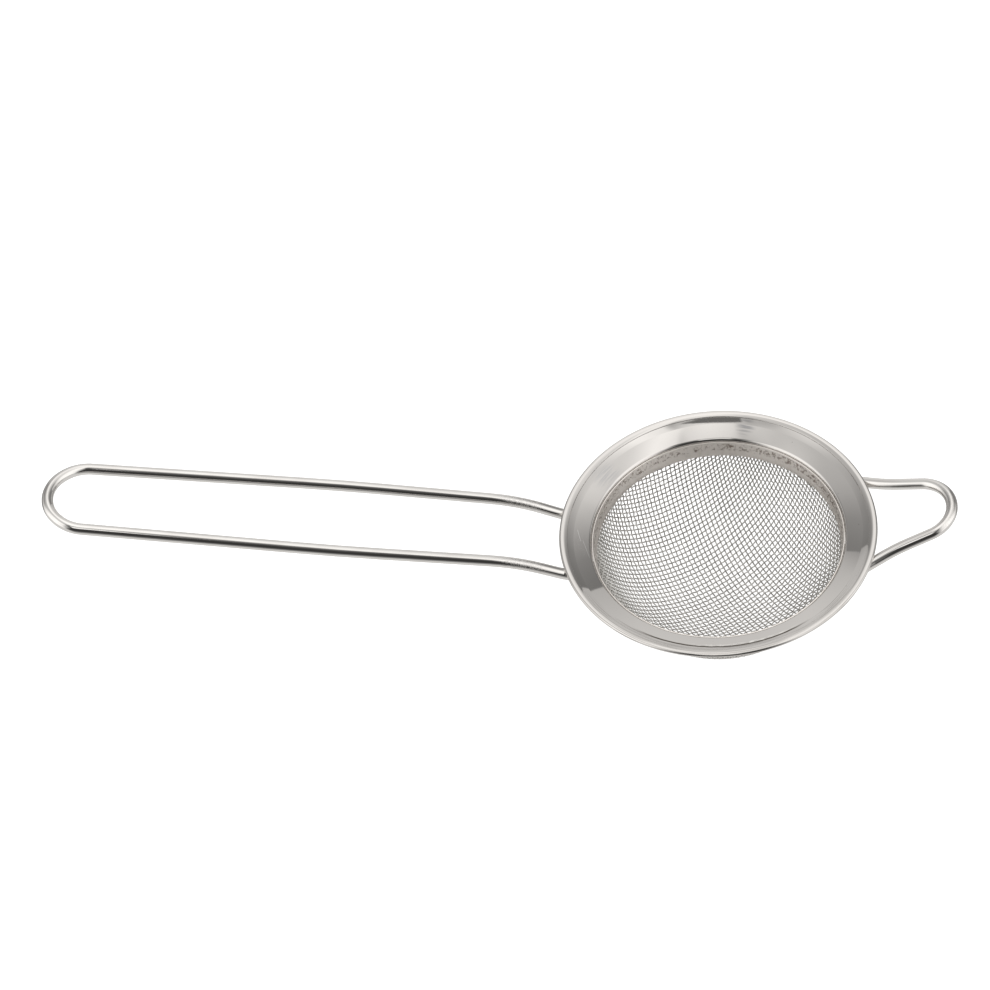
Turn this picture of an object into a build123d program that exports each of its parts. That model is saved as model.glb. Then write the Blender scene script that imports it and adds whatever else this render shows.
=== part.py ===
from build123d import *
import math
import os

os.makedirs("parts", exist_ok=True)

# Tea strainer: a stamped and polished rim ring, a woven wire bowl clamped in its
# neck by a plain inner band, a long looped wire handle and a short looped wire
# hook that rests on the far side of the cup.
#
# Frame, mm: origin on the bowl's axis in the plane that touches the rim bead's top.
# +Z is up, the hook points towards +X and the handle towards -X.

# ---- driving dimensions -----------------------------------------------------
RIM_D = 70.0            # outside diameter over the rolled bead
SHEET = 0.45            # sheet thickness of the stamped rim; the bead is two sheets deep
BEAD_STEP = 0.2         # height of the folded sheet's edge above the flange
BEAD_RISE = 24.0        # slope of the bead's upper face beside that edge, degrees
BEAD_TOP_ROUND = 2.8    # rounding from that slope to the bead's top
TROUGH_R = 33.15        # radius of the valley where the flange's top meets the fold's edge
INNER_SLOPE = 22.5      # the flange falls towards the bowl; degrees, inner zone
OUTER_SLOPE = 25.5      # and a little steeper outside the crease
CREASE_R = 31.85        # radius of the shallow crease between the two zones
TROUGH_Z = -0.54        # height of the valley
LIP_ROUND = 0.4         # rounding of the lip, where the flange turns down
NECK_R = 28.05          # inside radius of the neck
NECK_FOOT = -6.75       # height of the neck's lower edge

CLOTH = 0.6             # thickness of the woven cloth, two wires of 0.30
CLOTH_TOP = -6.3        # cut edge of the cloth, gripped between neck and band
BAND = 0.3              # thickness of the inner band
BAND_FOOT = -7.1
FLARE_FOOT = -6.25      # above this height the band leans out over the cloth's edge
FLARE_TIP = (28.0, -3.2)  # radius and height of its upper edge, just inside the neck
BOWL_FOOT = -29.25      # lowest point of the middle of the cloth

WIRE_R = 1.25           # handle and hook wire
WELD_SINK = 0.08        # the wires are pressed this far into the weld

HANDLE_RISE = 13.82     # slope of the handle outside its bend, degrees
HANDLE_END_R = 8.4      # centre-line radius of the rounded end
HANDLE_REACH = 143.8    # centre line of the handle's tip from the bowl's axis
BEND_OUT = (49.6, 5.2)   # where the handle's bend ends: reach, height
HOOK_RISE = 12.54       # slope of the hook outside the rim, degrees
HOOK_REACH = 51.1       # centre line of the hook's tip from the bowl's axis
HOOK_NOSE_R = 7.35      # centre-line radius of the hook's nose
HOOK_EXIT = (34.0, -2.07)  # centre line just outside the bead: reach, height


def slope(degrees):
    return math.tan(math.radians(degrees))


# ---- heights along the flange ----------------------------------------------
CREASE_Z = TROUGH_Z - (TROUGH_R - CREASE_R) * slope(OUTER_SLOPE)


def flange_top(r):
    """Height of the flange's upper face at radius r."""
    if r < CREASE_R:
        return CREASE_Z - (CREASE_R - r) * slope(INNER_SLOPE)
    return CREASE_Z + (r - CREASE_R) * slope(OUTER_SLOPE)


def flange_under(r, gap=0.0):
    """Height of a line that keeps the sheet and a gap below the upper face."""
    angle = INNER_SLOPE if r < CREASE_R else OUTER_SLOPE
    return flange_top(r) - (SHEET + gap) / math.cos(math.radians(angle))


def under_rim(x, y):
    """A wire's centre line where it lies welded against the flange."""
    r = math.hypot(x, y)
    return (x, y, flange_under(r, WIRE_R) + WELD_SINK)


def ring(section):
    """A full turn of a section drawn on the XZ plane."""
    return revolve(section, axis=Axis.Z)


# ---- rim: neck, lip, flange and rolled bead, one stamped piece -----------------
outer_wall = NECK_R + SHEET
bead_depth = 2 * SHEET
fold_r, fold_z = TROUGH_R + 0.04, TROUGH_Z + BEAD_STEP
bead_shoulder = fold_r - fold_z / slope(BEAD_RISE)
# where the flange's underside comes down to the bead's underside
bead_root = CREASE_R + (-bead_depth - flange_under(CREASE_R)) / slope(OUTER_SLOPE)
sheet = Polyline(
    (NECK_R, NECK_FOOT),
    (NECK_R, flange_top(NECK_R)),
    (CREASE_R, CREASE_Z),
    (TROUGH_R, TROUGH_Z),
    (fold_r, fold_z),
    (bead_shoulder, 0),
    (RIM_D / 2, 0),
    (RIM_D / 2, -bead_depth),
    (bead_root, -bead_depth),
    (CREASE_R, flange_under(CREASE_R)),
    (outer_wall, flange_under(outer_wall)),
    (outer_wall, NECK_FOOT),
    close=True,
)
profile = make_face(sheet)


def corner(face, x, y):
    return min(face.vertices(), key=lambda v: abs(v.X - x) + abs(v.Y - y))


roundings = [
    (NECK_R, flange_top(NECK_R), LIP_ROUND),
    (outer_wall, flange_under(outer_wall), LIP_ROUND + 0.3),
    (CREASE_R, CREASE_Z, 2.0),
    (CREASE_R, flange_under(CREASE_R), 3.0),
    (fold_r, fold_z, 0.06),
    (bead_shoulder, 0, BEAD_TOP_ROUND),
    (RIM_D / 2, 0, SHEET - 0.01),
    (RIM_D / 2, -bead_depth, SHEET - 0.01),
]
for at_r, at_z, radius in roundings:
    profile = fillet(corner(profile, at_r, at_z), radius)
rim_flange = ring(Plane.XZ * profile)

# ---- inner band that clamps the cloth ------------------------------------------
band_in, band_out = NECK_R - CLOTH - BAND, NECK_R - CLOTH
lean = math.atan2(FLARE_TIP[0] - band_out, FLARE_TIP[1] - FLARE_FOOT)
inner_tip = (FLARE_TIP[0] - BAND * math.cos(lean), FLARE_TIP[1] + BAND * math.sin(lean))
band = make_face(
    Polyline(
        (band_in, BAND_FOOT),
        (band_out, BAND_FOOT),
        (band_out, FLARE_FOOT),
        FLARE_TIP,
        inner_tip,
        (band_in, FLARE_FOOT + BAND * math.tan(lean / 2)),
        close=True,
    )
)
for at_r, at_z in ((band_in, BAND_FOOT), (band_out, BAND_FOOT), FLARE_TIP, inner_tip):
    band = fillet(corner(band, at_r, at_z), 0.1)
mesh_band = ring(Plane.XZ * band)

# ---- bowl of woven cloth, as the closed skin the cloth fills ----------------------
# The cloth hangs straight down between neck and band, then follows a sphere.
edge_r = NECK_R - CLOTH / 2
drop = BAND_FOOT - BOWL_FOOT
ball_r = (edge_r**2 + drop**2) / (2 * drop)
ball_z = BOWL_FOOT + ball_r


def bowl_arc(offset):
    """Lower bowl line at an offset from the middle of the cloth."""
    r = ball_r + offset
    rim_x = edge_r + offset
    rim_z = ball_z - math.sqrt(r**2 - rim_x**2)
    mid = math.asin(rim_x / r) / 2
    middle = (r * math.sin(mid), ball_z - r * math.cos(mid))
    return (rim_x, rim_z), middle, (0, ball_z - r)


outer_top, outer_mid, outer_foot = bowl_arc(CLOTH / 2)
inner_top, inner_mid, inner_foot = bowl_arc(-CLOTH / 2)
cloth_line = [
    Line((inner_top[0], CLOTH_TOP), inner_top),
    ThreePointArc(inner_top, inner_mid, inner_foot),
    Line(inner_foot, outer_foot),
    ThreePointArc(outer_foot, outer_mid, outer_top),
    Line(outer_top, (outer_top[0], CLOTH_TOP)),
    Line((outer_top[0], CLOTH_TOP), (inner_top[0], CLOTH_TOP)),
]
mesh_bowl = ring(Plane.XZ * make_face(Wire(cloth_line)))


# ---- bent wires ------------------------------------------------------------------
def bent_wire(half, radii):
    """A round wire bent at each point of one half and again on its mirror image.

    The bends' radii go with the points after the first, which is the cut end."""
    points = half + [(x, -y, z) for x, y, z in reversed(half)]
    path = FilletPolyline(*points, radius=radii + radii[::-1])
    start = Plane(origin=path @ 0, z_dir=path % 0)
    wire = sweep(start * Circle(WIRE_R), path=path)
    print("wire", round(wire.volume, 1), "expected", round(path.length * math.pi * WIRE_R**2, 1))
    return wire - rim_flange


# handle: each leg lies against the flange, bends up past the bead, bends back to
# the slope of the grip, bows out slightly along it and turns into the round end
def on_grip(reach, y):
    return (-reach, y, BEND_OUT[1] + (reach - BEND_OUT[0]) * slope(HANDLE_RISE))


handle_half = [
    under_rim(-28.3, 8.52),
    (-33.6, 8.6, -2.1),
    on_grip(43.8, 8.85),
    on_grip(82.0, 9.42),
    on_grip(138.8, 8.55),
    on_grip(HANDLE_REACH, 3.55),
]
handle_wire = bent_wire(handle_half, [24.0, 42.0, 600.0, HANDLE_END_R, HANDLE_END_R])


# hook: a short loop whose legs close in towards a rounded nose
def on_hook(reach, y):
    return (reach, y, HOOK_EXIT[1] + (reach - HOOK_EXIT[0]) * slope(HOOK_RISE))


hook_half = [
    under_rim(27.3, 14.2),
    on_hook(33.0, 11.5),
    on_hook(38.1, 9.23),
    on_hook(HOOK_REACH, 5.8),
]
hook_wire = bent_wire(hook_half, [12.0, 38.0, HOOK_NOSE_R])

# ---- one file per piece ------------------------------------------------------------
pieces = {
    "rim_flange": rim_flange,
    "mesh_band": mesh_band,
    "mesh_bowl": mesh_bowl,
    "handle_wire": handle_wire,
    "hook_wire": hook_wire,
}
for name, piece in pieces.items():
    solids = piece.solids()
    body = solids[0] if len(solids) == 1 else Compound(children=list(solids))
    body.label = name
    export_step(body, f"parts/{name}.step")
    box = body.bounding_box()
    low, high = tuple(box.min), tuple(box.max)
    print(name, len(solids), round(body.volume, 1), low, high)
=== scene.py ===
import math

import bpy
import numpy as np
from mathutils import Matrix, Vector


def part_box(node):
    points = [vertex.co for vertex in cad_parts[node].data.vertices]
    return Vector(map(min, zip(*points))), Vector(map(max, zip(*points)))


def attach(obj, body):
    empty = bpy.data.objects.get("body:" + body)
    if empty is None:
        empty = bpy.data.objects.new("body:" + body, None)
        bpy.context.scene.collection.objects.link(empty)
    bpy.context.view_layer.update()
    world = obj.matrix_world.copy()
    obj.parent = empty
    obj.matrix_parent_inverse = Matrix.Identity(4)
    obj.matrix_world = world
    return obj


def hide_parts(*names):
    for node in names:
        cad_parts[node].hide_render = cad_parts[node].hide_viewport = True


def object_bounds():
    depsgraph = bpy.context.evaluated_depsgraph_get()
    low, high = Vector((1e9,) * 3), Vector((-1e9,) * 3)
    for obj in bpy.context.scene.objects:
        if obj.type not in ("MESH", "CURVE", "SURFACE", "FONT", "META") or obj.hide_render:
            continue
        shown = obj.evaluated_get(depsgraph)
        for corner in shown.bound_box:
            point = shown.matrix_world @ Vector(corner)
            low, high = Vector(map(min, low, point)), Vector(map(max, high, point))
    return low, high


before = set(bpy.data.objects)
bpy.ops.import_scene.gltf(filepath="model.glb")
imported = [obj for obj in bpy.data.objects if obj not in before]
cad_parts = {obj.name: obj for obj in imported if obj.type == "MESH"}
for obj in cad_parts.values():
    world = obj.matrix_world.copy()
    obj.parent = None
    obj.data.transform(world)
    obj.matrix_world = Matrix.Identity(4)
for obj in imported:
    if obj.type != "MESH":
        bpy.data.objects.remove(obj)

# Tea strainer: rim, inner band, woven bowl, handle and hook, rebuilt as fine meshes on
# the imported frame, with steel materials, a white studio and the camera.
# The object's lengths are in millimetres, as in the CAD source, and become metres in
# add_mesh. Bump depths, the floor's size and the camera's clipping are in metres.

cad_low, cad_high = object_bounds()
MM = 0.001


def node_box(node):
    """Lowest and highest corner of a CAD node, in millimetres."""
    low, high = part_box(node)
    return np.array(low) / MM, np.array(high) / MM


# ---- sizes, from the frame where it holds them ---------------------------------------
rim_low, rim_high = node_box("rim_flange")
band_low = node_box("mesh_band")[0]
bowl_low, bowl_high = node_box("mesh_bowl")

RIM_R = rim_high[0]
SHEET = 0.45                           # thickness of the rim's sheet
NECK_R = bowl_high[0]                  # inside of the neck, which is the cloth's outside
NECK_FOOT = rim_low[2]
INNER_SLOPE, OUTER_SLOPE = math.radians(22.5), math.radians(25.5)
CREASE_R = 31.85                       # radius where the flange's slope changes
TROUGH_R, TROUGH_Z = 33.15, -0.54      # valley where the flange's top meets the fold's edge
BEAD_STEP = 0.2                        # height of that edge
BEAD_RISE = math.radians(24.0)         # slope of the bead's upper face beside it
LIP_ROUND = 0.9                        # rounding where the flange turns down into the neck
BEAD_TOP_ROUND = 1.7                   # rounding from that slope to the bead's top

CLOTH_WIRE = 0.3                       # diameter of the cloth's wires
CLOTH_PITCH = 1.08                     # from wire to wire
CLOTH_TURN = math.radians(27.6)        # direction of the first set of wires
CLOTH_DRIFT = math.radians(0.3)        # turn at each crossing of one wire of the second set
CLOTH_SPAN = 44                        # crossings worked out on each side of the pole
CLOTH_TOP = bowl_high[2]
BOWL_EDGE_R = NECK_R - CLOTH_WIRE      # middle of the cloth, at the band's foot
BOWL_FOOT = bowl_low[2] + CLOTH_WIRE   # middle of the cloth, at the pole

BAND_OUT = NECK_R - 2 * CLOTH_WIRE
BAND_IN = BAND_OUT - 0.3
BAND_FOOT = band_low[2]
FLARE_FOOT = -6.25                     # above this height the band leans out over the cloth
FLARE_TIP = (28.0, -3.2)               # radius and height of its upper edge

# the bowl is part of a ball below the band's foot
BOWL_DROP = BAND_FOOT - BOWL_FOOT
BALL_R = (BOWL_EDGE_R**2 + BOWL_DROP**2) / (2 * BOWL_DROP)
BALL_Z = BOWL_FOOT + BALL_R

WIRE_R = 1.25                          # handle and hook
WELD_SINK = 0.08                       # how far they are pressed into the flange's underside
HANDLE_RISE, HOOK_RISE = math.radians(13.82), math.radians(12.54)
BEND_OUT = (49.6, 5.2)                 # reach and height where the handle's bend ends
HOOK_EXIT = (34.0, -2.07)              # reach and height where the hook leaves the bead
HANDLE_REACH, HOOK_REACH = 143.8, 51.1   # centre lines of their tips from the bowl's axis
HANDLE_END_R, HOOK_NOSE_R = 8.4, 7.35    # centre-line radii of their round ends


# ---- meshes ---------------------------------------------------------------------------
def add_mesh(name, points, faces, sharp_degrees=40, attributes=None):
    """A smooth-shaded mesh object from points in millimetres."""
    mesh = bpy.data.meshes.new(name)
    mesh.from_pydata((np.asarray(points) * MM).tolist(), [], faces)
    mesh.validate()
    mesh.polygons.foreach_set("use_smooth", [True] * len(mesh.polygons))
    mesh.set_sharp_from_angle(angle=math.radians(sharp_degrees))
    for key, (kind, field, values) in (attributes or {}).items():
        attribute = mesh.attributes.new(key, kind, "POINT")
        attribute.data.foreach_set(field, np.asarray(values, np.float32).ravel())
    obj = bpy.data.objects.new(name, mesh)
    bpy.context.scene.collection.objects.link(obj)
    return obj


def rounded(corners, radii, step=0.12, closed=False):
    """Points along straight runs joined by tangent arcs; step is the turn per point in radians."""
    corners = [np.array(c, float) for c in corners]
    count = len(corners)
    points = [] if closed else [corners[0]]
    for k in range(0 if closed else 1, count if closed else count - 1):
        before, here, after = corners[k - 1], corners[k], corners[(k + 1) % count]
        a = (before - here) / np.linalg.norm(before - here)
        b = (after - here) / np.linalg.norm(after - here)
        turn = math.pi - math.acos(np.clip(a @ b, -1, 1))
        radius = radii[k] if closed else radii[k - 1]
        if radius <= 0 or turn < 1e-6:
            points.append(here)
            continue
        reach = radius * math.tan(turn / 2)
        bisector = (a + b) / np.linalg.norm(a + b)
        centre = here + bisector * radius / math.cos(turn / 2)
        first, last = here + a * reach, here + b * reach
        steps = max(2, math.ceil(turn / step))
        for i in range(steps + 1):
            t = i / steps
            arm = (first - centre) * math.sin((1 - t) * turn) + (last - centre) * math.sin(t * turn)
            points.append(centre + arm / math.sin(turn))
    if not closed:
        points.append(corners[-1])
    return np.array(points)


def lathe(name, profile, segments=384, sharp_degrees=40):
    """A closed section of (radius, height) points turned about Z."""
    profile = np.asarray(profile)
    turn = np.linspace(0, 2 * math.pi, segments, endpoint=False)
    radius, height = profile[:, 0], profile[:, 1]
    points = np.stack([
        np.outer(np.cos(turn), radius),
        np.outer(np.sin(turn), radius),
        np.tile(height, (segments, 1)),
    ], -1).reshape(-1, 3)
    n = len(profile)
    faces = [
        (i * n + k, (i + 1) % segments * n + k, (i + 1) % segments * n + (k + 1) % n, i * n + (k + 1) % n)
        for i in range(segments)
        for k in range(n)
    ]
    return add_mesh(name, points, faces, sharp_degrees)


def spaced(path, longest):
    """The path with extra points on runs longer than the given length."""
    out = [path[0]]
    for here, after in zip(path[:-1], path[1:]):
        pieces = max(1, math.ceil(np.linalg.norm(after - here) / longest))
        out += [here + (after - here) * i / pieces for i in range(1, pieces + 1)]
    return np.array(out)


def tube(path, radius, sides, end_round):
    """Points, faces and straightened coordinates of a round wire along a path, ends eased."""
    tangents = np.gradient(path, axis=0)
    tangents /= np.linalg.norm(tangents, axis=1)[:, None]
    lengths = np.concatenate([[0], np.cumsum(np.linalg.norm(np.diff(path, axis=0), axis=1))])
    side = np.cross(tangents[0], (0, 0, 1.0))
    rings = []
    for tangent in tangents:
        side = side - tangent * (side @ tangent)
        side /= np.linalg.norm(side)
        rings.append((side, np.cross(tangent, side)))
    # an eased edge: rings that grow from the cut face to the full radius
    easing = [(end_round * (1 - math.cos(t)), radius - end_round * (1 - math.sin(t)))
              for t in np.linspace(0, math.pi / 2, 5)]
    stations = [(0, shift, r) for shift, r in easing]
    stations += [(k, 0.0, radius) for k in range(1, len(path) - 1)]
    stations += [(len(path) - 1, -shift, r) for shift, r in easing[::-1]]
    turn = np.linspace(0, 2 * math.pi, sides, endpoint=False)
    points, straight = [], []
    for k, shift, r in stations:
        u, v = rings[k]
        ring = np.outer(np.cos(turn), u) + np.outer(np.sin(turn), v)
        points.append(path[k] + tangents[k] * shift + ring * r)
        along = np.full(sides, lengths[k] + shift)
        straight.append(np.stack([along, np.cos(turn) * r, np.sin(turn) * r], -1))
    rows = len(stations)
    faces = [
        (i * sides + j, i * sides + (j + 1) % sides, (i + 1) * sides + (j + 1) % sides, (i + 1) * sides + j)
        for i in range(rows - 1)
        for j in range(sides)
    ]
    faces.append(tuple(range(sides))[::-1])
    faces.append(tuple((rows - 1) * sides + j for j in range(sides)))
    return np.concatenate(points), faces, np.concatenate(straight)


# ---- rim: neck, lip, flange and folded bead ----------------------------------------------
CREASE_Z = TROUGH_Z - (TROUGH_R - CREASE_R) * math.tan(OUTER_SLOPE)


def flange_top(r):
    """Height of the flange's upper face at radius r."""
    slope = INNER_SLOPE if r < CREASE_R else OUTER_SLOPE
    return CREASE_Z + (r - CREASE_R) * math.tan(slope)


def flange_under(r, gap=0.0):
    """Height of a line that keeps the sheet and a gap below the upper face."""
    slope = INNER_SLOPE if r < CREASE_R else OUTER_SLOPE
    return flange_top(r) - (SHEET + gap) / math.cos(slope)


def rim_section():
    """The sheet's section, once round: up the neck, over lip, flange and bead, back underneath.

    Each corner is a radius, a height and a rounding."""
    outer_wall = NECK_R + SHEET
    start = (NECK_R, NECK_FOOT + 0.6, 0)  # on the straight of the neck
    fold = (TROUGH_R + 0.04, TROUGH_Z + BEAD_STEP)
    shoulder = fold[0] - fold[1] / math.tan(BEAD_RISE)
    hem = -2 * SHEET                      # underside of the folded edge
    hem_root = CREASE_R + (hem - flange_under(CREASE_R)) / math.tan(OUTER_SLOPE)
    hollow_r, hollow = 32.5, 0.01         # the outer zone is very slightly hollow
    edge = SHEET - 0.01                   # almost a half round
    corners = [
        start,
        (NECK_R, flange_top(NECK_R), LIP_ROUND),
        (CREASE_R, CREASE_Z, 0.5),
        (hollow_r, flange_top(hollow_r) - hollow, 30.0),
        (TROUGH_R, TROUGH_Z, 0),
        (fold[0], fold[1], 0.06),
        (shoulder, 0.0, BEAD_TOP_ROUND),
        (RIM_R, 0.0, edge),
        (RIM_R, hem, edge),
        (hem_root, hem, 1.5),
        (CREASE_R, flange_under(CREASE_R), 3.0),
        (outer_wall, flange_under(outer_wall), 0.7),
        (outer_wall, NECK_FOOT, 0.1),
        (NECK_R, NECK_FOOT, 0.1),
        start,
    ]
    places = [corner[:2] for corner in corners]
    radii = [corner[2] for corner in corners]
    return rounded(places, radii[1:-1])[:-1]


# ---- band -------------------------------------------------------------------------------
def band_section():
    """Strip that leans out over the cloth's edge."""
    thick = BAND_OUT - BAND_IN
    lean = math.atan2(FLARE_TIP[0] - BAND_OUT, FLARE_TIP[1] - FLARE_FOOT)
    corners = [
        (BAND_IN, BAND_FOOT),
        (BAND_OUT, BAND_FOOT),
        (BAND_OUT, FLARE_FOOT),
        FLARE_TIP,
        (FLARE_TIP[0] - thick * math.cos(lean), FLARE_TIP[1] + thick * math.sin(lean)),
        (BAND_IN, FLARE_FOOT + thick * math.tan(lean / 2)),
    ]
    outline = rounded(corners, [0.1, 0.1, 2.0, 0.1, 0.1, 2.0], step=0.2, closed=True)
    return spaced(np.concatenate([outline, outline[:1]]), 0.4)[:-1]


# ---- woven bowl ----------------------------------------------------------------------------
def turned(p, axis, angle):
    """p turned about a unit axis."""
    return (p * math.cos(angle) + np.cross(axis, p) * math.sin(angle)
            + axis * (axis @ p) * (1 - math.cos(angle)))


def centre_wire(heading, count, drift):
    """Crossings of a wire that runs from the pole over a unit sphere.

    The drift turns it at each crossing of the first half of its way."""
    place, ahead, step = np.array([0, 0, -1.0]), heading, CLOTH_PITCH / BALL_R
    crossings = [place]
    for k in range(count):
        axis = np.cross(place, ahead)
        place, ahead = turned(place, axis, step), turned(ahead, axis, step)
        ahead = turned(ahead, place, drift if k < count // 2 else 0.0)
        crossings.append(place)
    return crossings


def woven_net():
    """Crossings of two sets of evenly pitched wires on the unit sphere: every mesh is a rhombus,
    square at the pole and leaning over more and more towards the four diagonals."""
    across = np.array([math.cos(CLOTH_TURN), math.sin(CLOTH_TURN), 0])
    along = np.array([-math.sin(CLOTH_TURN), math.cos(CLOTH_TURN), 0])
    count = CLOTH_SPAN
    highest = 0.3                        # the net stops at this height on the unit sphere
    net = {}
    for i_sign in (1, -1):
        for k, p in enumerate(centre_wire(across * i_sign, count, 0.0)):
            net[k * i_sign, 0] = p
    for j_sign in (1, -1):
        drift = CLOTH_DRIFT if j_sign > 0 else 0.0
        for k, p in enumerate(centre_wire(along * j_sign, count, drift)):
            net[0, k * j_sign] = p
    for i_sign in (1, -1):
        for j_sign in (1, -1):
            for i in range(1, count + 1):
                for j in range(1, count + 1):
                    a = net.get((i * i_sign, (j - 1) * j_sign))
                    b = net.get(((i - 1) * i_sign, j * j_sign))
                    c = net.get(((i - 1) * i_sign, (j - 1) * j_sign))
                    if a is None or b is None or c is None:
                        continue
                    mirror = np.cross(a, b)
                    size = np.linalg.norm(mirror)
                    if size < 1e-3:
                        continue
                    mirror /= size
                    p = c - 2 * (c @ mirror) * mirror
                    if p[2] < highest:
                        net[i * i_sign, j * j_sign] = p
    return net


EDGE_TILT = math.asin(BOWL_EDGE_R / BALL_R)    # the bowl's edge, as an angle from the pole


def on_bowl(p):
    """Place and outward normal of the cloth's middle for a direction from the ball's centre.

    Past the ball's edge the cloth runs straight up between neck and band."""
    tilt = math.acos(np.clip(-p[2], -1, 1))
    flat = math.hypot(p[0], p[1])
    out = np.array([p[0], p[1], 0]) / flat if flat > 1e-9 else np.array([1.0, 0, 0])
    if tilt <= EDGE_TILT:
        return p * BALL_R + (0, 0, BALL_Z), p
    height = BAND_FOOT + (tilt - EDGE_TILT) * BALL_R
    return out * BOWL_EDGE_R + (0, 0, height), out


def crimped(net, key_of, span, parity, samples=4):
    """Runs of points along one wire: it passes over and under the wires that it crosses."""
    runs = [[]]
    for k in range(-span, span + 1):
        here, after = net.get(key_of(k)), net.get(key_of(k + 1))
        if here is None:
            runs.append([])
            continue
        for s in range(samples if after is not None else 1):
            t = s / samples
            p = here if s == 0 else here * (1 - t) + after * t
            p = p / np.linalg.norm(p)
            place, normal = on_bowl(p)
            if place[2] > CLOTH_TOP:
                runs.append([])
                continue
            lift = CLOTH_WIRE / 2 * math.cos(math.pi * (k + t + parity))
            runs[-1].append(place + normal * lift)
    return [run for run in runs if len(run) > 2]


def woven_bowl():
    """The cloth's wires, as warp and weft, each in two sets of every other wire."""
    net, span = woven_net(), CLOTH_SPAN
    made = []
    for set_name in ("warp", "weft"):
        for half in (0, 1):
            points, faces, straight, tones = [], [], [], []
            start = 0
            for n in range(-span + (half + span) % 2, span + 1, 2):
                if set_name == "warp":
                    runs = crimped(net, lambda k: (n, k), span, n)
                else:
                    runs = crimped(net, lambda k: (k, n), span, n + 1)
                for run in runs:
                    wire, quads, along = tube(np.array(run), CLOTH_WIRE / 2, sides=8, end_round=0.04)
                    points.append(wire)
                    faces += [tuple(start + v for v in quad) for quad in quads]
                    # marks and tone differ from wire to wire
                    straight.append(along + (n * 37.0, 0, 0))
                    tones.append(np.full(len(wire), (n * 0.618 + half * 0.31) % 1.0))
                    start += len(wire)
            attributes = {
                "straight": ("FLOAT_VECTOR", "vector", np.concatenate(straight)),
                "tone": ("FLOAT", "value", np.concatenate(tones)),
            }
            name = f"bowl_{set_name}_{'odd' if half else 'even'}"
            made.append(add_mesh(name, np.concatenate(points), faces, 70, attributes))
    return made


# ---- handle and hook wires -------------------------------------------------------------------
def under_rim(x, y):
    """Centre line of a wire where it lies welded against the flange."""
    return (x, y, flange_under(math.hypot(x, y), WIRE_R) + WELD_SINK)


def on_grip(reach, y):
    """A point of the handle's grip, from its reach and its distance from the middle."""
    return (-reach, y, BEND_OUT[1] + (reach - BEND_OUT[0]) * math.tan(HANDLE_RISE))


def on_hook(reach, y):
    """A point of the hook outside the rim, likewise."""
    return (reach, y, HOOK_EXIT[1] + (reach - HOOK_EXIT[0]) * math.tan(HOOK_RISE))


def bent_wire(name, half, radii):
    """A wire bent at each corner of one half and again on its mirror image."""
    corners = half + [(x, -y, z) for x, y, z in reversed(half)]
    path = spaced(rounded(corners, radii + radii[::-1], step=0.05), 2.5)
    points, faces, straight = tube(path, WIRE_R, sides=40, end_round=0.18)
    attributes = {"straight": ("FLOAT_VECTOR", "vector", straight)}
    return add_mesh(name, points, faces, 50, attributes)


def handle():
    """Each leg lies against the flange, bends up past the bead, bends back to the slope of the
    grip, bows out slightly along it and turns into the round end."""
    half = [
        under_rim(-28.3, 8.52),
        (-33.6, 8.6, -2.1),
        on_grip(43.8, 8.85),
        on_grip(82.0, 9.42),
        on_grip(138.8, 8.55),
        on_grip(HANDLE_REACH, 3.55),
    ]
    return bent_wire("handle_loop", half, [24.0, 42.0, 600.0, HANDLE_END_R, HANDLE_END_R])


def hook():
    """A short loop whose legs close in towards a rounded nose."""
    half = [
        under_rim(27.3, 14.2),
        on_hook(33.0, 11.5),
        on_hook(38.1, 9.23),
        on_hook(HOOK_REACH, 5.8),
    ]
    return bent_wire("cup_hook", half, [12.0, 38.0, HOOK_NOSE_R])


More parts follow.
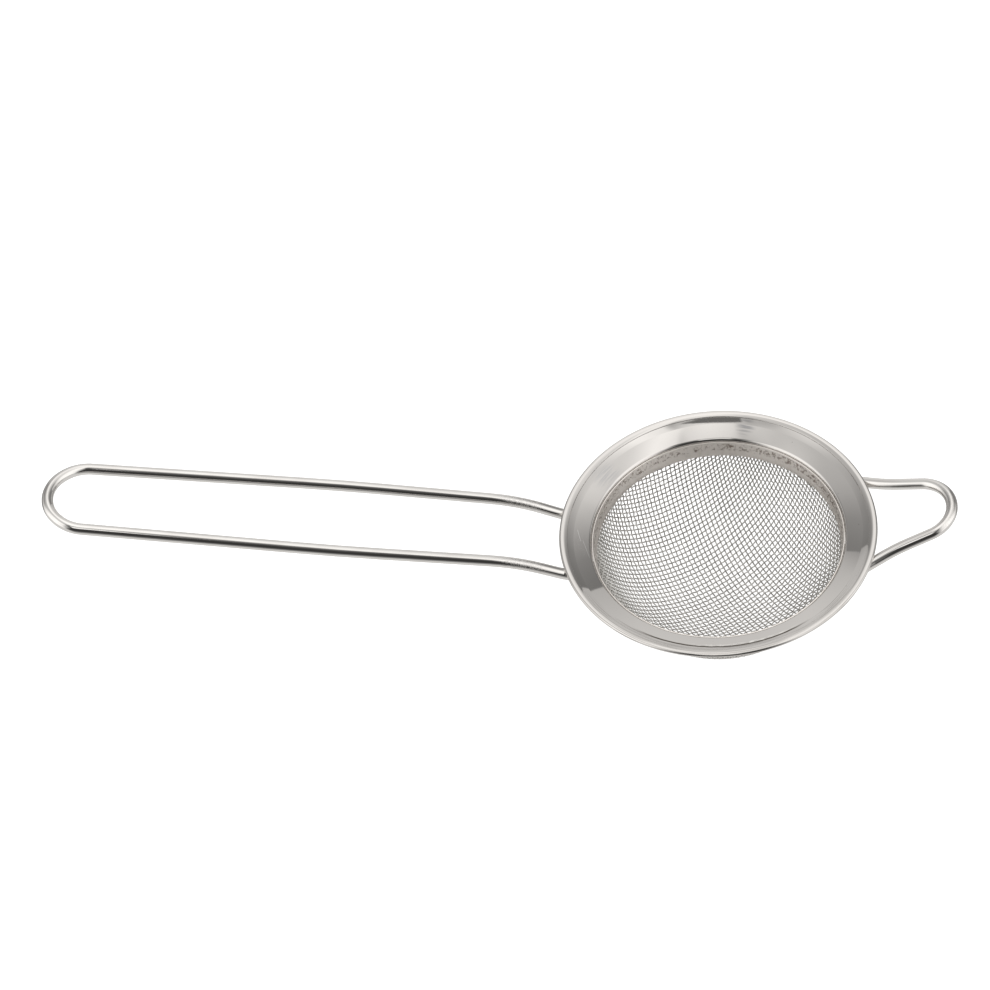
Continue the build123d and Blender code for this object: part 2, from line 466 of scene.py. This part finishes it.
# ---- materials ----------------------------------------------------------------------------------
class Graph:
    """Builds a shader tree. Inputs may be sockets, numbers or tuples."""

    def __init__(self, owner):
        owner.use_nodes = True
        self.tree = owner.node_tree
        self.tree.nodes.clear()

    def put(self, socket, value):
        if isinstance(value, bpy.types.NodeSocket):
            self.tree.links.new(value, socket)
        else:
            socket.default_value = value

    def node(self, kind, inputs=None, **settings):
        made = self.tree.nodes.new("ShaderNode" + kind)
        for key, value in settings.items():
            setattr(made, key, value)
        for key, value in (inputs or {}).items():
            self.put(made.inputs[key], value)
        return made

    def math(self, operation, a, b=0.0):
        return self.node("Math", {0: a, 1: b}, operation=operation).outputs[0]

    def product(self, a, b):
        return self.math("MULTIPLY", a, b)

    def plus(self, a, b):
        return self.math("ADD", a, b)

    def split(self, vector):
        return self.node("SeparateXYZ", {0: vector}).outputs

    def join(self, x, y, z):
        return self.node("CombineXYZ", {0: x, 1: y, 2: z}).outputs[0]

    def stretch(self, vector, scale):
        return self.node("VectorMath", {0: vector, 1: scale}, operation="MULTIPLY").outputs[0]

    def noise(self, vector, scale, detail=2.0, roughness=0.5):
        inputs = {"Vector": vector, "Scale": scale, "Detail": detail, "Roughness": roughness}
        return self.node("TexNoise", inputs).outputs[0]

    def dots(self, vector, scale):
        """Distance to the nearest of scattered points."""
        return self.node("TexVoronoi", {"Vector": vector, "Scale": scale}).outputs["Distance"]

    def span(self, value, low, high, start=0.0, end=1.0):
        """Smoothly from start to end while value goes from low to high."""
        inputs = {0: value, 1: low, 2: high, 3: start, 4: end}
        return self.node("MapRange", inputs, interpolation_type="SMOOTHSTEP").outputs[0]

    def ramp(self, value, stops):
        """A level between 0 and 2 that runs straight from stop to stop."""
        low, high = stops[0][0], stops[-1][0]
        along = self.node("MapRange", {0: value, 1: low, 2: high}).outputs[0]
        made = self.node("ValToRGB", {0: along})
        elements = made.color_ramp.elements
        while len(elements) < len(stops):
            elements.new(0.5)
        for element, (at, level) in zip(elements, stops):
            element.position = (at - low) / (high - low)
            element.color = (level / 2, level / 2, level / 2, 1)
        return self.product(made.outputs[0], 2.0)

    def window(self, value, low, high, soft):
        """One between low and high, falling to zero over twice the softness at each end."""
        rise = self.span(value, low - soft, low + soft)
        return self.product(rise, self.span(value, high - soft, high + soft, 1.0, 0.0))

    def close_to(self, place, centre, inner, outer):
        """One within the inner distance of a point, none past the outer distance."""
        away = self.node("VectorMath", {0: place, 1: centre}, operation="DISTANCE").outputs["Value"]
        return self.span(away, inner, outer, 1.0, 0.0)

    def hairline(self, x, y, start, end, half_width):
        """One along a straight line between two points of a plane, none beside it."""
        dx, dy = end[0] - start[0], end[1] - start[1]
        length = math.hypot(dx, dy)
        dx, dy = dx / length, dy / length
        x, y = self.plus(x, -start[0]), self.plus(y, -start[1])
        along = self.plus(self.product(x, dx), self.product(y, dy))
        beside = self.math("ABSOLUTE", self.plus(self.product(y, dx), self.product(x, -dy)))
        return self.product(self.span(beside, half_width * 0.3, half_width, 1.0, 0.0),
                            self.window(along, 0.0, length, 0.3))

    def blend(self, factor, a, b):
        """A number between a and b; the Mix node's inputs 2 and 3 are its numbers."""
        return self.node("Mix", {0: factor, 2: a, 3: b}).outputs[0]

    def tint(self, factor, a, b):
        """A colour between a and b; the Mix node's inputs 6 and 7 are its colours."""
        return self.node("Mix", {0: factor, 6: a, 7: b}, data_type="RGBA").outputs[2]

    def bump(self, height, depth, normal=None):
        inputs = {"Height": height, "Distance": depth, "Strength": 1.0}
        if normal is not None:
            inputs["Normal"] = normal
        return self.node("Bump", inputs).outputs[0]

    def place_mm(self):
        """The surface point in the object's own space, in millimetres."""
        return self.stretch(self.node("TexCoord").outputs["Object"], (1000.0,) * 3)

    def attribute(self, name):
        return self.node("Attribute", attribute_name=name).outputs

    def metal(self, colour, roughness, normal):
        inputs = {"Base Color": colour, "Roughness": roughness, "Metallic": 1.0, "Normal": normal}
        shader = self.node("BsdfPrincipled", inputs)
        out = self.node("OutputMaterial")
        self.tree.links.new(shader.outputs[0], out.inputs[0])


def new_graph(name):
    material = bpy.data.materials.new(name)
    return material, Graph(material)


STEEL = (0.66, 0.64, 0.62, 1)
WIRE_STEEL = (0.76, 0.745, 0.725, 1)
# dark brown: real dirt for the specks and front rings, painted shade for the crease line
DIRT_AND_SHADE = (0.10, 0.085, 0.07, 1)


def polished_steel():
    """Spun and polished sheet: faint rings, fine scratches, specks, a line of painted shade in the crease
    with painted glints beside it.
    """
    material, g = new_graph("polished_steel")
    place = g.place_mm()
    x, y = g.split(place)[:2]
    r = g.math("SQRT", g.plus(g.product(x, x), g.product(y, y)))
    angle = g.product(g.math("ARCTAN2", y, x), 180 / math.pi)

    # rings left by spinning and polishing, stronger outside the crease at the front
    around = g.join(r, g.product(angle, 0.04), 0.0)
    fine = g.noise(around, 6.0, 3.0, 0.6)
    coarse = g.noise(around, 1.6, 1.0)
    rings = g.noise(g.join(g.product(r, 5.0), g.product(angle, 0.03), 7.0), 1.0, 2.0, 0.6)
    outer = g.span(r, CREASE_R - 0.05, CREASE_R + 0.25)
    front = g.product(outer, g.span(y, -14.0, -24.0))

    # a dark line of painted shade along the front of the crease, with bright flecks of painted glint beside
    # it
    crease_mottle = g.noise(g.join(g.product(r, 2.5), g.product(angle, 0.16), 0.0), 2.0, 3.0, 0.65)
    wander = g.product(g.plus(g.noise(place, 0.5, 2.0), -0.5), 0.25)
    from_crease = g.math("ABSOLUTE", g.plus(g.plus(r, wander), -CREASE_R))
    line = g.product(g.span(from_crease, 0.12, 0.34, 1.0, 0.0), g.window(angle, -123, -60, 6))
    line = g.product(line, g.span(crease_mottle, 0.26, 0.40, 0.55, 1.0))
    # painted glints: bright flecks just inside the crease at the front
    glints = g.product(g.span(crease_mottle, 0.50, 0.55), g.window(r, CREASE_R - 0.8, CREASE_R - 0.2, 0.12))
    glints = g.product(glints, g.window(angle, -102, -64, 6))

    # beside the handle: a field of short scratches, and two long thin ones that curve a little
    crossing = g.noise(g.stretch(place, (0.5, 6.0, 1.0)), 2.0, 2.0, 0.7)
    scratched = g.close_to(place, (-29.8, -0.6, -2.0), 1.5, 4.5)
    scratch = g.product(g.span(crossing, 0.60, 0.68), scratched)
    from_middle = g.plus(x, 30.0)
    bent = g.plus(y, g.product(g.product(from_middle, from_middle), 0.25))
    hair = g.math("MAXIMUM", g.hairline(x, bent, (-30.9, 3.6), (-30.3, 0.4), 0.09),
                  g.hairline(x, bent, (-29.8, 0.6), (-28.5, -3.4), 0.09))

    # scattered specks, a bluish bloom at the back left and a rubbed patch at the back
    specks = g.span(g.dots(place, 0.55), 0.035, 0.075, 1.0, 0.0)
    specks = g.product(specks, g.span(g.noise(place, 0.2), 0.5, 0.6))
    smear = g.noise(g.join(g.product(r, 1.6), g.product(angle, 0.05), 3.0), 1.0, 3.0, 0.6)
    bloom = g.product(g.close_to(place, (-24.0, 18.9, -1.8), 0.6, 4.6),
                      g.span(smear, 0.42, 0.62, 0.05, 0.5))
    rub = g.product(g.close_to(place, (8.6, 30.2, -1.2), 0.5, 2.9),
                    g.span(smear, 0.40, 0.58, 0.1, 0.75))

    colour = g.tint(bloom, STEEL, (0.40, 0.41, 0.44, 1))
    colour = g.tint(rub, colour, (0.30, 0.30, 0.31, 1))
    colour = g.tint(g.product(specks, 0.7), colour, DIRT_AND_SHADE)
    # painted shade: the dark line along the crease
    colour = g.tint(line, colour, DIRT_AND_SHADE)
    colour = g.tint(g.product(g.product(front, g.span(rings, 0.5, 0.62)), 0.4), colour, DIRT_AND_SHADE)
    # painted glints: the bright flecks beside the crease line
    colour = g.tint(glints, colour, (0.95, 0.93, 0.90, 1))
    colour = g.tint(g.product(hair, 0.8), colour, (0.98, 0.97, 0.95, 1))
    roughness = g.plus(0.03, g.product(fine, g.blend(front, 0.02, 0.16)))
    roughness = g.plus(roughness, g.product(g.plus(scratch, bloom), 0.12))
    height = g.plus(g.product(fine, g.blend(outer, 0.25, 0.7)), g.product(coarse, 0.8))
    normal = g.bump(g.plus(height, g.product(scratch, 3.0)), 0.0000007)
    normal = g.bump(g.noise(place, 0.16, 1.0), 0.000012, normal)
    g.metal(colour, roughness, normal)
    return material


def dull_steel():
    """Plain strip, dull, with brown specks left by the spot welds along its upper half."""
    material, g = new_graph("dull_steel")
    place = g.place_mm()
    x, y, z = g.split(place)
    blotch = g.noise(place, 0.35, 4.0, 0.6)
    grain = g.noise(g.stretch(place, (1.0, 1.0, 5.0)), 2.5, 3.0, 0.6)
    upper = g.window(z, -5.3, -3.6, 0.25)
    right_back = g.product(g.span(x, 2.0, 14.0), g.span(y, 4.0, 12.0))
    spots = g.plus(g.noise(place, 1.3, 4.0, 0.8), g.product(right_back, 0.035))
    stain = g.product(g.span(spots, 0.53, 0.60), upper)
    smear = g.product(g.span(g.noise(g.stretch(place, (1.0, 1.0, 0.4)), 0.8, 2.0), 0.5, 0.7), 0.3)
    colour = g.tint(blotch, (0.86, 0.81, 0.77, 1), (0.95, 0.91, 0.87, 1))
    colour = g.tint(smear, colour, (0.68, 0.63, 0.58, 1))
    colour = g.tint(g.product(stain, 0.75), colour, (0.16, 0.10, 0.07, 1))
    roughness = g.span(grain, 0.3, 0.7, 0.30, 0.46)
    normal = g.bump(grain, 0.000008)
    g.metal(colour, roughness, normal)
    return material


def wire_cloth():
    """Bright drawn wire, each with its own tone, a little duller in patches."""
    material, g = new_graph("wire_cloth")
    straight = g.attribute("straight")["Vector"]
    tone = g.attribute("tone")["Fac"]
    streaks = g.noise(g.stretch(straight, (0.6, 8.0, 8.0)), 1.0, 2.0, 0.6)
    patches = g.noise(g.place_mm(), 0.25, 2.0)
    colour = g.tint(tone, (0.45, 0.44, 0.42, 1), (0.60, 0.59, 0.57, 1))
    colour = g.tint(g.span(patches, 0.45, 0.7, 0.0, 0.25), colour, (0.38, 0.36, 0.34, 1))
    roughness = g.span(streaks, 0.3, 0.7, 0.03, 0.08)
    normal = g.bump(streaks, 0.000002)
    g.metal(colour, roughness, normal)
    return material


def bright_wire():
    """Polished wire with faint lengthwise draw marks, scuffed at the handle's bend and the
    hook's nose."""
    material, g = new_graph("bright_wire")
    place = g.place_mm()
    x = g.split(place)[0]
    straight = g.attribute("straight")["Vector"]
    draw = g.noise(g.stretch(straight, (0.06, 4.0, 4.0)), 1.0, 3.0, 0.6)
    wear = g.noise(g.stretch(straight, (0.3, 1.0, 1.0)), 0.5, 2.0)
    grit = g.noise(place, 3.0, 3.0, 0.7)
    scuff = g.product(g.window(x, -47.0, -38.0, 2.0), g.span(grit, 0.42, 0.56))
    nose = g.product(g.window(x, 48.0, 60.0, 1.5), g.span(grit, 0.35, 0.65))
    scuff = g.plus(g.product(scuff, 0.28), g.product(nose, 0.16))
    roughness = g.plus(g.span(draw, 0.3, 0.7, 0.03, 0.08), g.span(wear, 0.5, 0.8, 0.0, 0.04))
    roughness = g.plus(roughness, scuff)
    colour = g.tint(g.span(wear, 0.35, 0.75), WIRE_STEEL, (0.70, 0.68, 0.66, 1))
    normal = g.bump(draw, 0.0000016)
    normal = g.bump(g.product(grit, scuff), 0.00003, normal)
    g.metal(colour, roughness, normal)
    return material


# ---- the object -------------------------------------------------------------------------------
def dress(obj, material, node):
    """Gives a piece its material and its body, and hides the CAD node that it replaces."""
    obj.data.materials.append(material)
    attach(obj, "root")
    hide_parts(node)


dress(lathe("rim", rim_section()), polished_steel(), "rim_flange")
dress(lathe("inner_band", band_section()), dull_steel(), "mesh_band")
cloth = wire_cloth()
for wires in woven_bowl():
    dress(wires, cloth, "mesh_bowl")
wire_finish = bright_wire()
dress(handle(), wire_finish, "handle_wire")
dress(hook(), wire_finish, "hook_wire")


# ---- studio: a white floor, a white sweep behind, soft light above ---------------------------------
def floor():
    half, height = 1.5, cad_low.z - 0.0001
    corners = [(-half, -half, height), (half, -half, height), (half, half, height), (-half, half, height)]
    plane = add_mesh("floor", np.array(corners) / MM, [(0, 1, 2, 3)])
    material, g = new_graph("floor")
    diffuse = g.node("BsdfDiffuse", {"Color": (0.5, 0.5, 0.5, 1)})
    glow = g.node("Emission", {"Color": (1, 1, 1, 1), "Strength": 0.85})
    both = g.node("AddShader", {0: diffuse.outputs[0], 1: glow.outputs[0]})
    g.tree.links.new(both.outputs[0], g.node("OutputMaterial").inputs[0])
    plane.data.materials.append(material)
    # the steel mirrors the studio's own light from below instead of the floor
    plane.visible_glossy = False
    plane.visible_diffuse = False


def studio():
    """Light by direction, in degrees: elevation, and azimuth from the +Y direction.

    A white sweep behind, a grey room on both sides of it, tall soft boxes left and right, a
    light ceiling, and a dark room on the near side with a dark card and a lamp high above."""
    world = bpy.data.worlds.new("studio")
    bpy.context.scene.world = world
    g = Graph(world)
    x, y, z = g.split(g.node("TexCoord").outputs["Generated"])
    elevation = g.product(g.math("ARCSINE", z), 180 / math.pi)
    azimuth = g.product(g.math("ARCTAN2", x, y), 180 / math.pi)
    off_axis = g.math("ABSOLUTE", azimuth)

    # walls and ceiling: darkest low down; the right is darker there, and lighter above
    left_ceiling = g.ramp(elevation, [
        (0, 0.5), (18, 0.4), (25, 0.27), (30, 0.31), (36, 0.37), (44, 0.54), (48, 0.60), (56, 0.67),
        (64, 0.72), (70, 0.78), (76, 0.88), (81, 0.98), (87, 1.3), (90, 1.33),
    ])
    right_ceiling = g.ramp(elevation, [
        (0, 0.4), (12, 0.2), (24, 0.26), (30, 0.32), (36, 0.46), (44, 0.72), (48, 0.88),
        (52, 0.99), (60, 1.06), (66, 1.19), (72, 1.29), (78, 1.34), (90, 1.33),
    ])
    ceiling = g.blend(g.span(x, -0.12, 0.12), left_ceiling, right_ceiling)
    ceiling = g.product(ceiling, g.span(y, -0.1, 0.0, 0.76, 1.0))

    # soft boxes: they start low beside the sweep, and reach high further round
    boxes = g.ramp(off_axis, [
        (46, 0.35), (52, 0.5), (60, 0.65), (72, 0.9), (92, 1.35),
        (116, 1.4), (132, 1.2), (140, 0.7), (147, 0.4), (156, 0.1),
    ])
    start = g.span(x, -0.1, 0.1, 46.0, 52.0)
    low_part = g.product(g.span(elevation, 12, 30, 1.0, 0.0),
                         g.span(g.math("SUBTRACT", off_axis, start), 0, 8))
    top = g.math("SUBTRACT", elevation, g.span(x, -0.1, 0.1, 54.0, 66.0))
    tall_part = g.product(g.span(off_axis, 55, 80), g.span(top, 0, 18, 1.0, 0.0))
    sides = g.blend(g.math("MAXIMUM", low_part, tall_part), ceiling, boxes)

    # sweep: crisp edges low down that melt into the ceiling, brightest in the middle
    soft = g.span(elevation, 36, 56, 0.35, 12.0)
    left = g.math("DIVIDE", g.plus(azimuth, g.span(elevation, 22, 31, 34.5, 27.0)), soft)
    right = g.math("DIVIDE", g.plus(azimuth, g.span(elevation, 18, 26, -27.5, -23.0)), soft)
    inside = g.product(g.span(left, -1, 1), g.span(right, -1, 1, 1.0, 0.0))
    sweep = g.ramp(elevation, [
        (-2, 0.66), (6, 0.80), (12, 0.85), (26, 0.83), (37, 0.86),
        (46, 1.08), (54, 1.26), (62, 1.32), (76, 1.4), (90, 1.34),
    ])
    off_middle = g.math("ABSOLUTE", g.plus(azimuth, 2.0))
    low_falloff = g.blend(g.span(elevation, 30, 50), g.span(off_middle, 8, 32, 1.0, 0.74), 1.0)
    left_falloff = g.blend(g.window(elevation, 26, 54, 5), 1.0, g.span(azimuth, -21, -7, 0.62, 1.0))
    sweep = g.product(g.product(sweep, low_falloff), left_falloff)
    far = g.blend(inside, sides, sweep)

    # near side: a dark room; a ramp gives where it begins at each height, in hundreds of degrees
    dark = g.ramp(elevation, [
        (-3, 0.05), (40, 0.05), (48, 0.1), (58, 0.14), (67, 0.26), (76, 0.6), (82, 1.05), (90, 1.34),
    ])
    dark_edge = g.ramp(elevation, [(8, 1.42), (25, 1.50), (42, 1.58), (60, 1.40), (90, 1.0)])
    is_near = g.span(g.math("SUBTRACT", off_axis, g.product(dark_edge, 100.0)), -7, 7)
    above = g.blend(is_near, far, dark)

    # high on the near side: a dark card with one slanting end, and a lamp
    card_edge = g.plus(y, g.product(x, 0.1))
    slant = g.plus(x, g.product(card_edge, -2.2))
    card = g.product(g.span(slant, 0.42, 0.45, 1.0, 0.0), g.window(card_edge, -0.3, -0.128, 0.004))
    card = g.product(card, g.span(x, -0.18, -0.165))
    above = g.blend(g.product(card, g.span(z, 0.8, 0.9)), above, 0.2)
    lamp = g.product(g.window(x, -0.2, 0.1, 0.02), g.window(y, -0.6, -0.33, 0.03))
    above = g.blend(g.product(lamp, g.span(z, 0.6, 0.7)), above, 1.3)

    # below the horizon: a white table, darker on the near side and, near the horizon, on both flanks
    below_near = g.ramp(elevation, [(-36, 0.8), (-26, 0.46), (-14, 0.28), (-3, 0.18), (0, 0.06)])
    flank = g.product(g.window(off_axis, 17, 75, 7), g.span(elevation, -48, -28))
    below_far = g.blend(flank, 0.8, 0.28)
    below = g.blend(g.span(off_axis, 135, 155), below_far, below_near)
    level = g.blend(g.span(elevation, -1, 0), below, above)

    # the backdrop itself is plain white
    camera_ray = g.node("LightPath").outputs["Is Camera Ray"]
    level = g.blend(camera_ray, level, 1.0)
    background = g.node("Background", {"Color": (1.0, 0.99, 0.975, 1), "Strength": level})
    g.tree.links.new(background.outputs[0], g.node("OutputWorld").inputs[0])


# ---- camera -------------------------------------------------------------------------------------
def camera():
    """A camera above the near side: it looks down by the pitch, turned by yaw, tilted by roll."""
    place = (-1.543, -286.0, 347.4)       # millimetres
    yaw, pitch, roll = map(math.radians, (-9.06, 48.79, -11.45))
    level = math.cos(pitch)
    ahead = np.array([math.sin(yaw) * level, math.cos(yaw) * level, -math.sin(pitch)])
    level_right = np.cross(ahead, (0, 0, 1.0))
    level_right /= np.linalg.norm(level_right)
    level_up = np.cross(level_right, ahead)
    right = level_right * math.cos(roll) + level_up * math.sin(roll)
    up = -level_right * math.sin(roll) + level_up * math.cos(roll)
    data = bpy.data.cameras.new("camera")
    data.lens, data.sensor_width = 73.63, 36.0
    data.clip_start, data.clip_end = 0.01, 10.0
    obj = bpy.data.objects.new("camera", data)
    bpy.context.scene.collection.objects.link(obj)
    columns = np.eye(4)
    columns[:3, 0], columns[:3, 1], columns[:3, 2] = right, up, -ahead
    columns[:3, 3] = np.array(place) * MM
    obj.matrix_world = Matrix(columns.tolist())
    bpy.context.scene.camera = obj


floor()
studio()
camera()
bpy.context.scene.view_settings.view_transform = "Standard"
bpy.context.view_layer.update()
